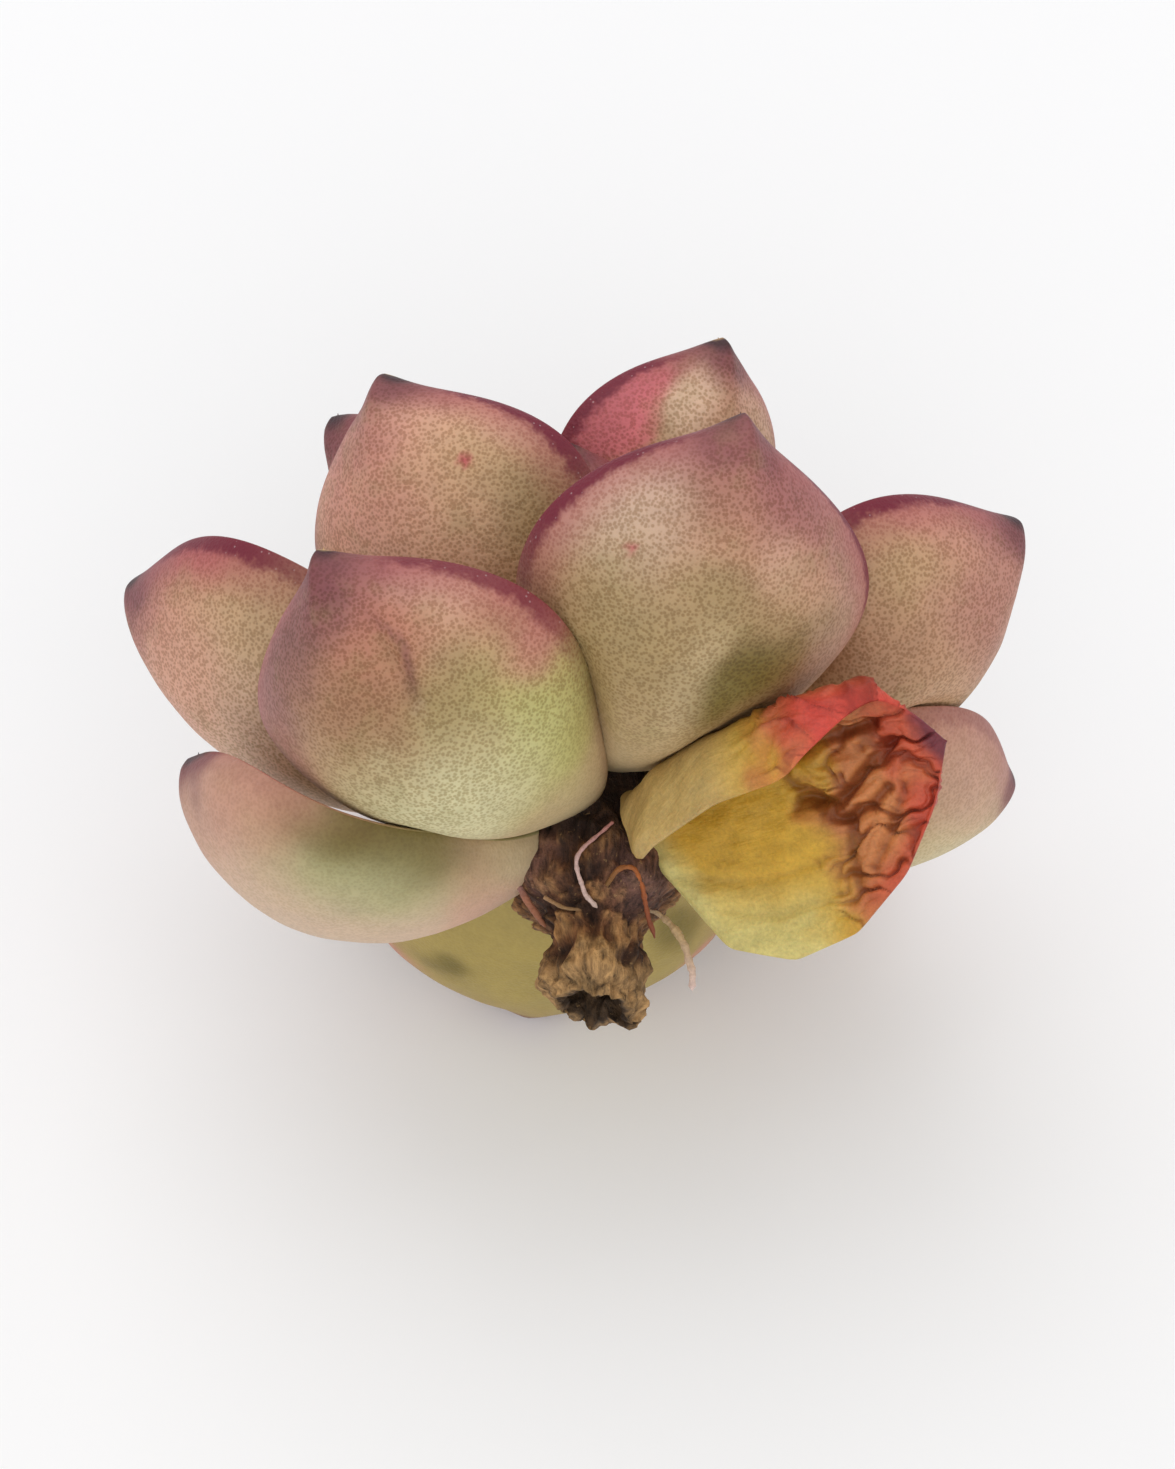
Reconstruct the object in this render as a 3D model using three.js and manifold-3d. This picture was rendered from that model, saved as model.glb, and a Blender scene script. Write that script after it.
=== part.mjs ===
// A bare-root succulent rosette (an echeveria) lying on its side: thick cupped leaves set in a golden-angle
// spiral round a short woody stem, with one withered leaf and a few dead root fibres. Millimetres, +Z up.
//
// Everything grows in the plant's own frame, where +Z runs up the stem from the lowest leaf, a turn of 0 degrees
// points to -Y and a turn of 90 degrees to +X. The finished plant is then laid down on the surface z = 0.
import * as THREE from "three";
import { ConvexHull } from "three/addons/math/ConvexHull.js";
import { mergeVertices } from "three/addons/utils/BufferGeometryUtils.js";
import Module from "manifold-3d";

const wasm = await Module();
wasm.setup();

// ---- Driving dimensions, in millimetres and degrees ----
const LEAF_COUNT = 28;
const GOLDEN_ANGLE = 137.5; // turn from one leaf to the next younger one
const FIRST_TURN = -88; // where the oldest leaf points
const LEAF_LENGTH = 41; // a full-grown leaf, along its midline
const LEAF_WIDTH = 29;
const LEAF_THICKNESS = 6.2;
const BUD_LENGTH = 8; // the youngest leaf
const BUD_WIDTH = 5;
const BUD_THICKNESS = 1.8;
const CROWN_HEIGHT = 21.5; // leafy stem, from the lowest leaf to the youngest
const CROWN_RADIUS = 4.7;
const TIP_RADIUS = 1.2; // where the youngest leaf grows
const STEM_LENGTH = 16; // bare stem, below the lowest leaf
const COLLAR_RADIUS = 6.4; // swelling of old leaf scars, close under the leaves
const WAIST_RADIUS = 3.8;
const FOOT_RADIUS = 4.4; // knob at the broken end
const FIBRE_RADIUS = 0.4;
const GROWN_AGE = 0.7; // share of the leaves that are younger than the full-grown ones
const OPEN_AGE = 0.41; // share of the leaves that still stand up in the bud
const CLEARANCE = 0.3; // air left between a piece and what it presses against
const LIE_TILT = 8.5; // how far the lying stem points up before the plant settles

// Facets of the skins.
const LEAF_RINGS = 9;
const LEAF_SIDES = 12;
const STEM_RINGS = 18;
const STEM_SIDES = 16;
const FIBRE_SIDES = 6;

const COLOURS = { leaf: 0x9a8a68, young: 0x9aa56c, withered: 0xc98a3a, stem: 0x5a4030, fibre: 0xb98f62 };

const rad = THREE.MathUtils.degToRad;
const lerp = THREE.MathUtils.lerp;
const smooth = (x) => THREE.MathUtils.smoothstep(x, 0, 1);

// ---- Solids ----

// A closed skin over rings of points, with one more point closing each end.
function skin(rings, start, end) {
  const sides = rings[0].length;
  const points = [...rings.flat(), start, end];
  const at = (ring, side) => ring * sides + (side % sides);
  const startIndex = points.length - 2;
  const endIndex = points.length - 1;
  const faces = [];
  for (let k = 0; k < sides; k++) {
    faces.push(startIndex, at(0, k + 1), at(0, k));
    faces.push(endIndex, at(rings.length - 1, k), at(rings.length - 1, k + 1));
    for (let i = 0; i + 1 < rings.length; i++) {
      faces.push(at(i, k), at(i, k + 1), at(i + 1, k), at(i, k + 1), at(i + 1, k + 1), at(i + 1, k));
    }
  }
  const geometry = new THREE.BufferGeometry().setFromPoints(points);
  geometry.setIndex(faces);
  return geometry;
}

function toSolid(geometry) {
  const bare = geometry.clone();
  bare.deleteAttribute("normal");
  bare.deleteAttribute("uv");
  const merged = mergeVertices(bare);
  const vertProperties = merged.getAttribute("position").array;
  const triVerts = new Uint32Array(merged.index.array);
  return new wasm.Manifold(new wasm.Mesh({ numProp: 3, vertProperties, triVerts }));
}

function fromSolid(solid) {
  const mesh = solid.getMesh();
  const geometry = new THREE.BufferGeometry();
  geometry.setAttribute("position", new THREE.BufferAttribute(mesh.vertProperties, 3));
  geometry.setIndex([...mesh.triVerts]);
  return geometry;
}

// What is left of a solid once the neighbours that it presses on are cut away, as one piece.
function cutBack(solid, neighbours) {
  const cut = (rest, neighbour) => (rest.intersect(neighbour).volume() > 0 ? rest.subtract(neighbour) : rest);
  const left = neighbours.reduce(cut, solid);
  return left.decompose().reduce((best, piece) => (piece.volume() > best.volume() ? piece : best));
}

function addMesh(group, name, geometry, color, roughness) {
  const material = new THREE.MeshStandardMaterial({ color, roughness, metalness: 0, flatShading: true });
  const mesh = new THREE.Mesh(geometry, material);
  mesh.name = name;
  group.add(mesh);
}

// ---- Leaves ----
// Each leaf's own habit, by rank from the oldest. turn: off the regular spiral. lean: rise at its base. curl: how
// much more it rises by its tip. roll: twist about its own length. cup: rise of its margins, as a share of its half
// width. rise: off the regular place up the stem. long, wide, thick: shares of a full-grown leaf's sizes.
const HABITS = [
  { name: "lower_leaf_left", turn: 5, lean: -29, curl: 100, roll: -11, cup: 0.19, long: 0.83, wide: 0.78,
    thick: 1.25, rise: -0.9 },
  { name: "withered_leaf", turn: -5, lean: 0, curl: 31, roll: -65, cup: -0.3, long: 0.74, wide: 0.83,
    thick: 0.62, rise: -3.2 },
  { name: "lower_leaf_back", turn: 3, lean: -26, curl: 38, cup: 0.25, long: 0.8, wide: 1.12 },
  { name: "front_leaf_left", turn: 2, lean: -24, curl: 106, roll: 7, long: 0.98, wide: 1.03, rise: -1 },
  { name: "lower_leaf_right", turn: 4, lean: -14, curl: 60, long: 0.85, rise: -1 },
  { name: "side_leaf_left", turn: 30, lean: -3, curl: 76, roll: 10, long: 1.04, wide: 1.05, rise: 0.5 },
  { name: "front_leaf_right", turn: 1, lean: -15, curl: 98, roll: -2, long: 1.03, wide: 1.02 },
  { name: "back_leaf_right", turn: -2, lean: -10, curl: 62, long: 1.05 },
  { name: "upper_leaf_left", turn: 31, lean: 6, curl: 93, roll: 4, long: 0.9, wide: 0.98, rise: 1 },
  { name: "side_leaf_right", turn: 2, lean: -10, curl: 98, roll: -8, long: 1.02, wide: 1.1, rise: -1.3 },
  { name: "back_leaf_left", turn: -4, lean: -10, curl: 62, long: 1.05 },
  { name: "inner_leaf_front", turn: 3, lean: 22, curl: 50, roll: -14, long: 0.58, wide: 0.62, thick: 0.85 },
  { name: "inner_leaf_back_right", lean: 18 },
  { name: "inner_leaf_left", turn: 22, lean: 26, curl: 52, roll: -8, long: 0.72, wide: 0.76 },
  { name: "upper_leaf_right", turn: -4, lean: 27, curl: 60, roll: 8, long: 0.74, wide: 0.8, rise: 1 },
];
const WITHERED_RANK = 1;

// How old a leaf is: 1 for the oldest, 0 for the youngest.
function ageOf(rank) {
  return 1 - rank / (LEAF_COUNT - 1);
}

function makeLeaf(rank) {
  const age = ageOf(rank);
  const grown = Math.min(1, age / GROWN_AGE) ** 1.6;
  const own = { turn: 0, thick: 1, rise: 0, ...HABITS[rank] };
  return {
    name: own.name ?? `leaf_${String(rank).padStart(2, "0")}`,
    turn: FIRST_TURN + rank * GOLDEN_ANGLE + own.turn,
    lean: own.lean ?? lerp(80, 32, Math.min(1, age / OPEN_AGE) ** 0.8),
    curl: own.curl ?? lerp(10, 55, Math.min(1, age / OPEN_AGE)),
    roll: own.roll ?? 0,
    cup: own.cup ?? 0.42,
    length: own.long ? LEAF_LENGTH * own.long : lerp(BUD_LENGTH, LEAF_LENGTH, grown),
    width: own.wide ? LEAF_WIDTH * own.wide : lerp(BUD_WIDTH, LEAF_WIDTH, grown),
    thickness: lerp(BUD_THICKNESS, LEAF_THICKNESS, grown) * own.thick,
    height: CROWN_HEIGHT * (1 - age ** 1.5) + own.rise,
  };
}

// Half width along a leaf, as a share of the widest, t running from 0 at the base to 1 at the tip.
function blade(t) {
  const widest = 0.58;
  if (t < widest) return lerp(0.3, 1, Math.sin((t / widest) * Math.PI * 0.5));
  const u = (t - widest) / (1 - widest);
  const shoulder = Math.sqrt(Math.max(0, 1 - (u / 0.93) ** 2.3));
  return Math.max(shoulder, 0.3 * (1 - u));
}

// Thickness along a leaf, as a share of the thickest.
function flesh(t) {
  return lerp(0.62, 1, smooth(t / 0.45)) * Math.sqrt(Math.max(0, 1 - t ** 3.2));
}

// The leaf's midline from its base: x outwards and z up, before the leaf leans.
function midline(leaf, t) {
  const steps = 24;
  const point = new THREE.Vector3();
  for (let i = 0; i < steps; i++) {
    const bend = rad(leaf.curl * (((i + 0.5) / steps) * t) ** 1.5);
    point.x += (Math.cos(bend) * leaf.length * t) / steps;
    point.z += (Math.sin(bend) * leaf.length * t) / steps;
  }
  return point;
}

// One ring of a leaf's skin. grow adds to its half width and its thickness.
function leafRing(leaf, t, grow) {
  const bend = rad(leaf.curl * t ** 1.5);
  const inward = new THREE.Vector3(-Math.sin(bend), 0, Math.cos(bend)); // towards the inner face
  const centre = midline(leaf, t);
  const half = (leaf.width / 2) * blade(t) + grow;
  const thick = leaf.thickness * flesh(t) + 2 * grow;
  const ring = [];
  for (let k = 0; k < LEAF_SIDES; k++) {
    const angle = (k / LEAF_SIDES) * Math.PI * 2;
    const across = Math.cos(angle);
    const side = Math.sin(angle) >= 0 ? 0.28 : -0.72; // the outer face is the fuller one
    const lift = side * thick * Math.abs(Math.sin(angle)) ** 1.15;
    const cupped = leaf.cup * half * across ** 2 * smooth(t * 3);
    const point = centre.clone().addScaledVector(inward, lift + cupped);
    point.y += half * across;
    ring.push(point);
  }
  return ring;
}

function leafGeometry(leaf, grow = 0) {
  const rings = [];
  for (let i = 0; i < LEAF_RINGS; i++) rings.push(leafRing(leaf, Math.sin((i / LEAF_RINGS) * Math.PI * 0.5), grow));
  const geometry = skin(rings, midline(leaf, 0), midline(leaf, 1));
  return geometry
    .rotateX(rad(leaf.roll))
    .rotateY(-rad(leaf.lean))
    .translate(stemRadius(leaf.height) + CLEARANCE, 0, 0)
    .rotateZ(rad(leaf.turn - 90))
    .translate(0, 0, leaf.height);
}

function leafColour(rank) {
  if (rank === WITHERED_RANK) return COLOURS.withered;
  return rank < HABITS.length ? COLOURS.leaf : COLOURS.young;
}

// ---- Stem ----
// Places down the bare stem, as shares of its length from the lowest leaf, with the radius at each.
const BARE_STEM = [[0, CROWN_RADIUS], [0.22, COLLAR_RADIUS], [0.36, COLLAR_RADIUS], [0.62, WAIST_RADIUS],
  [0.86, FOOT_RADIUS], [1, FOOT_RADIUS * 0.7]];

function stemRadius(height) {
  if (height >= 0) return lerp(CROWN_RADIUS, TIP_RADIUS, smooth(height / CROWN_HEIGHT));
  const share = Math.min(1, -height / STEM_LENGTH);
  const next = BARE_STEM.findIndex(([place], i) => i > 0 && share <= place);
  const [above, wide] = BARE_STEM[next - 1];
  const [below, narrow] = BARE_STEM[next];
  return lerp(wide, narrow, smooth((share - above) / (below - above)));
}

function stemGeometry(grow = 0) {
  const profile = [new THREE.Vector2(0, -STEM_LENGTH - grow)];
  for (let i = 0; i <= STEM_RINGS; i++) {
    const height = lerp(-STEM_LENGTH, CROWN_HEIGHT, i / STEM_RINGS);
    profile.push(new THREE.Vector2(stemRadius(height) + grow, height));
  }
  profile.push(new THREE.Vector2(0, CROWN_HEIGHT + TIP_RADIUS + grow));
  return new THREE.LatheGeometry(profile, STEM_SIDES).rotateX(Math.PI / 2);
}

// ---- Root fibres ----
// The points of each fibre: its turn, its height, and how far its middle stands off the stem.
const FIBRES = {
  root_fibre_front: [[11, -1.9, 1.2], [-5, -3.8, 1.2], [-12, -5.3, 1.2], [-8, -7.5, 0.9], [2, -8.6, 0.8]],
  root_fibre_long: [[54, -8.2, 0.8], [56, -8.8, 2.4], [54, -10.2, 4.2],
    [57, -12.1, 4.8], [59, -14, 5], [62, -15.5, 5.6]],
  root_fibre_loop: [[8, -7, 0.8], [14, -6, 1.3], [24, -5.8, 1.4], [34, -6.8, 1.2], [44, -8, 1.2], [58, -10.6, 2]],
  root_fibre_short: [[-44, -7.4, 0.8], [-30, -8.4, 1.1], [-14, -8.8, 0.8]],
  root_fibre_side: [[-66, -6, 0.8], [-64, -7.4, 1.1], [-60, -9.4, 0.9]],
};

function fibreGeometry(points) {
  const route = points.map(([turn, height, off]) => {
    const reach = stemRadius(height) + off;
    return new THREE.Vector3(reach * Math.sin(rad(turn)), -reach * Math.cos(rad(turn)), height);
  });
  const outline = new THREE.Shape().absarc(0, 0, FIBRE_RADIUS, 0, Math.PI * 2);
  return new THREE.ExtrudeGeometry(outline, {
    extrudePath: new THREE.CatmullRomCurve3(route),
    steps: points.length * 3,
    curveSegments: FIBRE_SIDES / 2,
  });
}

// ---- Assembly ----
function makePlant() {
  const plant = new THREE.Group();
  addMesh(plant, "stem", stemGeometry(), COLOURS.stem, 0.9);
  const taken = [toSolid(stemGeometry(CLEARANCE))];
  for (let rank = 0; rank < LEAF_COUNT; rank++) {
    const leaf = makeLeaf(rank);
    const shape = cutBack(toSolid(leafGeometry(leaf)), taken);
    addMesh(plant, leaf.name, fromSolid(shape), leafColour(rank), 0.6);
    taken.push(toSolid(leafGeometry(leaf, CLEARANCE)), shape);
  }
  for (const [name, points] of Object.entries(FIBRES)) {
    addMesh(plant, name, fibreGeometry(points), COLOURS.fibre, 0.8);
  }
  return plant;
}

// The centre of mass of a group of closed meshes of one density.
function centreOfMass(group) {
  const [a, b, c] = [new THREE.Vector3(), new THREE.Vector3(), new THREE.Vector3()];
  const sum = new THREE.Vector3();
  let total = 0;
  group.updateMatrixWorld(true);
  for (const mesh of group.children) {
    const { index, attributes } = mesh.geometry.index ? mesh.geometry : mergeVertices(mesh.geometry);
    for (let i = 0; i < index.count; i += 3) {
      [a, b, c].forEach((corner, k) => corner.fromBufferAttribute(attributes.position, index.getX(i + k)));
      [a, b, c].forEach((corner) => corner.applyMatrix4(mesh.matrixWorld));
      const volume = a.dot(b.clone().cross(c)) / 6;
      sum.addScaledVector(a.clone().add(b).add(c), volume / 4);
      total += volume;
    }
  }
  return sum.divideScalar(total);
}

// Whether a point stands over a triangle of a convex hull, seen square to the triangle.
function isOver(face, point) {
  const edges = [face.edge, face.edge.next, face.edge.prev];
  return edges.every((edge) => {
    const along = edge.head().point.clone().sub(edge.tail().point);
    return along.cross(point.clone().sub(edge.tail().point)).dot(face.normal) >= 0;
  });
}

// Lays the plant on its back leaves as it comes to rest: on the face of its convex hull, under its centre of mass,
// that is nearest to facing down. Its bottom centre goes to the origin.
function layDown(plant) {
  plant.rotation.x = -rad(90 - LIE_TILT);
  const centre = centreOfMass(plant);
  const resting = new ConvexHull().setFromObject(plant).faces.filter((face) => isOver(face, centre));
  const floor = resting.reduce((best, face) => (face.normal.z < best.normal.z ? face : best));
  const settle = new THREE.Quaternion().setFromUnitVectors(floor.normal, new THREE.Vector3(0, 0, -1));
  plant.quaternion.premultiply(settle);
  const box = new THREE.Box3().setFromObject(plant, true);
  plant.position.set(-(box.min.x + box.max.x) / 2, -(box.min.y + box.max.y) / 2, -box.min.z);
}

const plant = makePlant();
layDown(plant);
const part = new THREE.Group();
part.add(plant);
export default part;
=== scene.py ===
# A bare-root succulent rosette lying on its side: fine skins for its leaves, stem and roots.
# Metres. The plant's own frame is as in the CAD: z up the stem, a turn of 0 points to -y and 90 degrees to +x.
import math

import bpy
import numpy as np
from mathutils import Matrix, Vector, noise
from mathutils.bvhtree import BVHTree


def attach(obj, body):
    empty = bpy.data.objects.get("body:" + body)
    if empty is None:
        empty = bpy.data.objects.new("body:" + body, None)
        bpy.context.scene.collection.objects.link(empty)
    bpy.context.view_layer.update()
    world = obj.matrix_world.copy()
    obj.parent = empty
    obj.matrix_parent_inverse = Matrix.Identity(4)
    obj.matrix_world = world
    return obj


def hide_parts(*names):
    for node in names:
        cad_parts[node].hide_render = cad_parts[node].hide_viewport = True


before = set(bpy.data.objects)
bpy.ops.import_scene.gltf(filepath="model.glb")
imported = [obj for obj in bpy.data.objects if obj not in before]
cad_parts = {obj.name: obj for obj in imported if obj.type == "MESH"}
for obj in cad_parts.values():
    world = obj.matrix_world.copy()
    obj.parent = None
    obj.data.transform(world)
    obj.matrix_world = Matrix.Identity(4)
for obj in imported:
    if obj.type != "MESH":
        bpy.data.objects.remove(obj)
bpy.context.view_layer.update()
print("frame loaded:", len(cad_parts), "nodes")

mm = 0.001

plant = {
    "leafCount": 28,
    "goldenAngle": 137.5,
    "firstTurn": -88,
    "leafLength": 41 * mm,
    "leafWidth": 29 * mm,
    "leafThickness": 6.2 * mm,
    "budLength": 8 * mm,
    "budWidth": 5 * mm,
    "budThickness": 1.8 * mm,
    "budLean": 80,
    "openLean": 32,
    "budCurl": 10,
    "openCurl": 55,
    "cup": 0.42,
    "crownHeight": 21.5 * mm,
    "crownRadius": 4.7 * mm,
    "tipRadius": 1.2 * mm,
    "stemLength": 16 * mm,
    "clearance": 0.3 * mm,
    "grownAge": 0.7,  # age from 0 at the bud to 1 at the oldest leaf
    "openAge": 0.41,
    "roll": -0.25,  # how far the lying plant has rolled about its stem
}


# from 0 to 1 with soft ends
def smooth(x):
    x = np.clip(x, 0, 1)
    return x * x * (3 - 2 * x)


def lerp(a, b, share):
    return a + (b - a) * share


def unit(v):
    return v / np.linalg.norm(v, axis=-1, keepdims=True)


# The corners of the stem's node give the line it lies on, and its broken end gives the plant's origin.
def findPlantFrame():
    corners = np.array([v.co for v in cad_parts["stem"].data.vertices])
    corners = np.unique(np.round(corners, 6), axis=0)
    middle = corners.mean(0)
    up = np.linalg.svd(corners - middle)[2][0]
    up = up * np.sign(up[1])  # the crown lies towards +y
    reach = (corners - middle) @ up
    origin = middle + up * (reach.min() + plant["stemLength"])
    side = unit(np.cross(up, (0, 0, 1)))
    back = np.cross(up, side)
    roll = math.radians(plant["roll"])
    x = side * math.cos(roll) - back * math.sin(roll)
    return origin, np.array([x, np.cross(up, x), up])


origin, axes = findPlantFrame()
print("plant origin", np.round(origin * 1000, 2), "stem axis", np.round(axes[2], 4))


def toWorld(points):
    return points @ axes + origin


# A closed skin over rings of points, each end closed by one more point.
def makeSkin(name, rings, start, end):
    count, sides = rings.shape[:2]
    points = np.concatenate([rings.reshape(-1, 3), [start], [end]])
    k = np.arange(sides)
    after = (k + 1) % sides
    faces = []
    for i in range(count - 1):
        low, high = i * sides, (i + 1) * sides
        faces += np.stack([low + k, low + after, high + after, high + k], 1).tolist()
    last = (count - 1) * sides
    faces += [[count * sides, b, a] for a, b in zip(k.tolist(), after.tolist())]
    faces += [[count * sides + 1, last + a, last + b] for a, b in zip(k.tolist(), after.tolist())]
    return makePiece(name, points, faces)


def makePiece(name, points, faces):
    mesh = bpy.data.meshes.new(name)
    mesh.from_pydata(points.tolist(), [], faces)
    mesh.polygons.foreach_set("use_smooth", [True] * len(mesh.polygons))
    mesh.update()
    piece = bpy.data.objects.new(name, mesh)
    bpy.context.scene.collection.objects.link(piece)
    return piece


# the values of a skin's points, then those of its two end points
def withEnds(values):
    return np.concatenate([values, values[:1], values[-1:]])


# numbers, colours under the name "paint", or places, one for each point
def addValues(piece, name, values):
    values = np.asarray(values, np.float32)
    if values.ndim == 1:
        piece.data.attributes.new(name, "FLOAT", "POINT").data.foreach_set("value", values)
    elif name == "paint":
        rgba = np.concatenate([values, np.ones((len(values), 1), np.float32)], 1)
        piece.data.attributes.new(name, "FLOAT_COLOR", "POINT").data.foreach_set("color", rgba.ravel())
    else:
        piece.data.attributes.new(name, "FLOAT_VECTOR", "POINT").data.foreach_set("vector", values.ravel())


# a base coat of one paint over every point, and a function that lays more paints over it
def baseCoat(paints, first, count):
    colour = np.tile(paints[first], (count, 1))

    def layOn(name, amount):
        colour[:] += (np.array(paints[name]) - colour) * np.clip(amount, 0, 1)[:, None]

    return colour, layOn


def place(piece, node, slotName, material):
    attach(piece, "root")
    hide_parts(node)
    piece.data.materials.append(material)


def noiseAt(points, size, octaves=2):
    return np.array([noise.fractal(Vector(p / size), 1.0, 2.0, octaves) for p in points])


class Wire:
    # a socket of a material; sums, differences and products of wires add Math nodes
    def __init__(self, tree, socket=None):
        self.tree = tree
        self.socket = socket

    # settings are set first, then the sockets get their values or wires
    def node(self, kind, settings=None, sockets=None, out=0):
        made = self.tree.nodes.new(kind)
        for name, value in (settings or {}).items():
            setattr(made, name, value)
        for name, value in (sockets or {}).items():
            if isinstance(value, Wire):
                self.tree.links.new(value.socket, made.inputs[name])
            else:
                made.inputs[name].default_value = value
        return Wire(self.tree, made.outputs[out] if made.outputs else None)

    def math(self, operation, a, b):
        return self.node("ShaderNodeMath", {"operation": operation}, {0: a, 1: b})

    def __add__(self, other):
        return self.math("ADD", self, other)

    def __sub__(self, other):
        return self.math("SUBTRACT", self, other)

    def __mul__(self, other):
        return self.math("MULTIPLY", self, other)

    def __rsub__(self, other):
        return self.math("SUBTRACT", other, self)

    __radd__ = __add__
    __rmul__ = __mul__

    # 0 below low, 1 above high; high may be the smaller one
    def between(self, low, high):
        sockets = {0: self, 1: low, 2: high, 3: 0.0, 4: 1.0}
        return self.node("ShaderNodeMapRange", {"interpolation_type": "SMOOTHSTEP"}, sockets)


def mixColour(share, a, b, blend="MIX"):
    wire = share if isinstance(share, Wire) else a
    return wire.node("ShaderNodeMix", {"data_type": "RGBA", "blend_type": blend}, {0: share, 6: a, 7: b}, 2)


def tinted(colour, tint):
    return mixColour(1.0, colour, rgb(*tint), "MULTIPLY")


def brightened(colour, tone):
    return colour.node("ShaderNodeVectorMath", {"operation": "SCALE"}, {0: colour, "Scale": tone})


def attribute(wire, name, out="Fac"):
    return wire.node("ShaderNodeAttribute", {"attribute_name": name}, out=out)


# noise with grains of a given size in metres
def grain(wire, where, size, detail=2.0, roughness=0.5):
    sockets = {"Vector": where, "Scale": 1 / size, "Detail": detail, "Roughness": roughness}
    return wire.node("ShaderNodeTexNoise", {}, sockets)


def cells(wire, where, size):
    return wire.node("ShaderNodeTexVoronoi", {}, {"Vector": where, "Scale": 1 / size})


def startMaterial(name):
    material = bpy.data.materials.new(name)
    material.use_nodes = True
    tree = material.node_tree
    tree.nodes.clear()
    wire = Wire(tree)
    return material, wire, wire.node("ShaderNodeTexCoord", out="Object")


def finishMaterial(wire, colour, roughness, height, strength, fixed):
    bump = wire.node("ShaderNodeBump", {}, {"Strength": strength, "Distance": 1 * mm, "Height": height})
    sockets = {"Base Color": colour, "Roughness": roughness, "Normal": bump, **fixed}
    surface = wire.node("ShaderNodeBsdfPrincipled", {}, sockets)
    wire.node("ShaderNodeOutputMaterial", {}, {"Surface": surface})


def rgb(*values):
    return (*values, 1.0)


# The skin of the healthy leaves.
skin = {
    "stippleSize": 0.30 * mm,
    "stippleDepth": 0.75,
    "youngStippleDepth": 0.5,
    "clumpSize": 0.9 * mm,  # clumps of stipple
    "fleckSize": 1.1 * mm,
    "blotchSize": 5 * mm,
    "light": (1.19, 1.18, 1.15),  # tint between the dots
    "dark": (0.72, 0.63, 0.49),  # tint of the dots
    "rimWidth": 1.05,  # millimetres of red margin
    "rim": (0.17, 0.013, 0.03),
    "flushWidth": 3.6,  # millimetres over which the red fades inwards
    "flush": (0.38, 0.085, 0.095),
    "flushDepth": 0.6,
    "crumbSize": 0.7 * mm,  # pale crumbs along the margin
    "crumb": (0.75, 0.62, 0.62),
    "olive": (0.20, 0.17, 0.06),
    "roughness": 0.52,
    "subsurface": 0.05,
    "bump": 0.5,
}


def makeLeafSkin(name, stipple):
    material, wire, where = startMaterial(name)
    paint = attribute(wire, "paint", "Color")
    edge = attribute(wire, "edge")
    freckles = attribute(wire, "freckles")
    rimShare = attribute(wire, "rimShare")
    fine = cells(wire, where, skin["stippleSize"])
    clumps = grain(wire, where, skin["clumpSize"], 2.0, 0.6)
    dots = (fine + (clumps - 0.5) * 0.5).between(0.66, 0.30) * freckles
    cloud = grain(wire, where, skin["blotchSize"], 4.0, 0.62)
    flecks = grain(wire, where, skin["fleckSize"], 2.0, 0.7)
    lit = brightened(paint, 1.0 + (cloud - 0.5) * 0.34 + (flecks - 0.5) * 0.22)
    lit = mixColour(cloud.between(0.5, 0.72) * freckles * 0.30, lit, rgb(*skin["olive"]))
    colour = mixColour(dots * stipple, tinted(lit, skin["light"]), tinted(lit, skin["dark"]))
    flush = edge.between(skin["flushWidth"], 0.4) * rimShare * skin["flushDepth"]
    colour = mixColour(flush, colour, rgb(*skin["flush"]))
    broken = edge + (flecks - 0.5) * 1.1
    rim = broken.between(skin["rimWidth"], skin["rimWidth"] * 0.35) * rimShare
    colour = mixColour(rim, colour, rgb(*skin["rim"]))
    crumbs = cells(wire, where, skin["crumbSize"]).between(0.16, 0.07) * edge.between(0.9, 0.3)
    colour = mixColour(crumbs * rimShare * 0.3, colour, rgb(*skin["crumb"]))
    roughness = skin["roughness"] + (cloud - 0.5) * 0.18 + dots * 0.05
    height = fine * 0.08 + flecks * 0.05 + cloud * 0.14
    fixed = {"Subsurface Weight": skin["subsurface"], "Subsurface Scale": 2 * mm, "IOR": 1.4,
             "Subsurface Radius": (1.0, 0.5, 0.25)}
    finishMaterial(wire, colour, roughness, height, skin["bump"], fixed)
    return material


# paints of the healthy leaves
palette = {
    "belly": (0.52, 0.42, 0.25),
    "beige": (0.50, 0.38, 0.22),
    "tan": (0.43, 0.29, 0.145),
    "olive": (0.27, 0.20, 0.08),
    "umber": (0.27, 0.125, 0.065),
    # painted shade: a dark olive laid where one leaf shades another
    "paintedShade": (0.115, 0.085, 0.008),
    "green": (0.34, 0.34, 0.16),
    "lime": (0.42, 0.42, 0.13),
    "paleGreen": (0.58, 0.55, 0.33),
    "cream": (0.66, 0.46, 0.33),
    "rose": (0.50, 0.22, 0.17),
    "mauve": (0.47, 0.28, 0.21),
    "pink": (0.58, 0.36, 0.26),
    "pinkCream": (0.58, 0.43, 0.33),
    "salmon": (0.66, 0.37, 0.26),
    "leek": (0.32, 0.245, 0.06),
    "dusk": (0.30, 0.105, 0.105),
    "slate": (0.185, 0.075, 0.07),
    "brick": (0.40, 0.15, 0.10),
    "ruby": (0.60, 0.13, 0.17),
    "crimson": (0.40, 0.04, 0.07),
    "plum": (0.15, 0.04, 0.05),
    "purple": (0.03, 0.010, 0.016),
    "cork": (0.62, 0.42, 0.20),
    "straw": (0.34, 0.22, 0.12),
}

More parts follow.
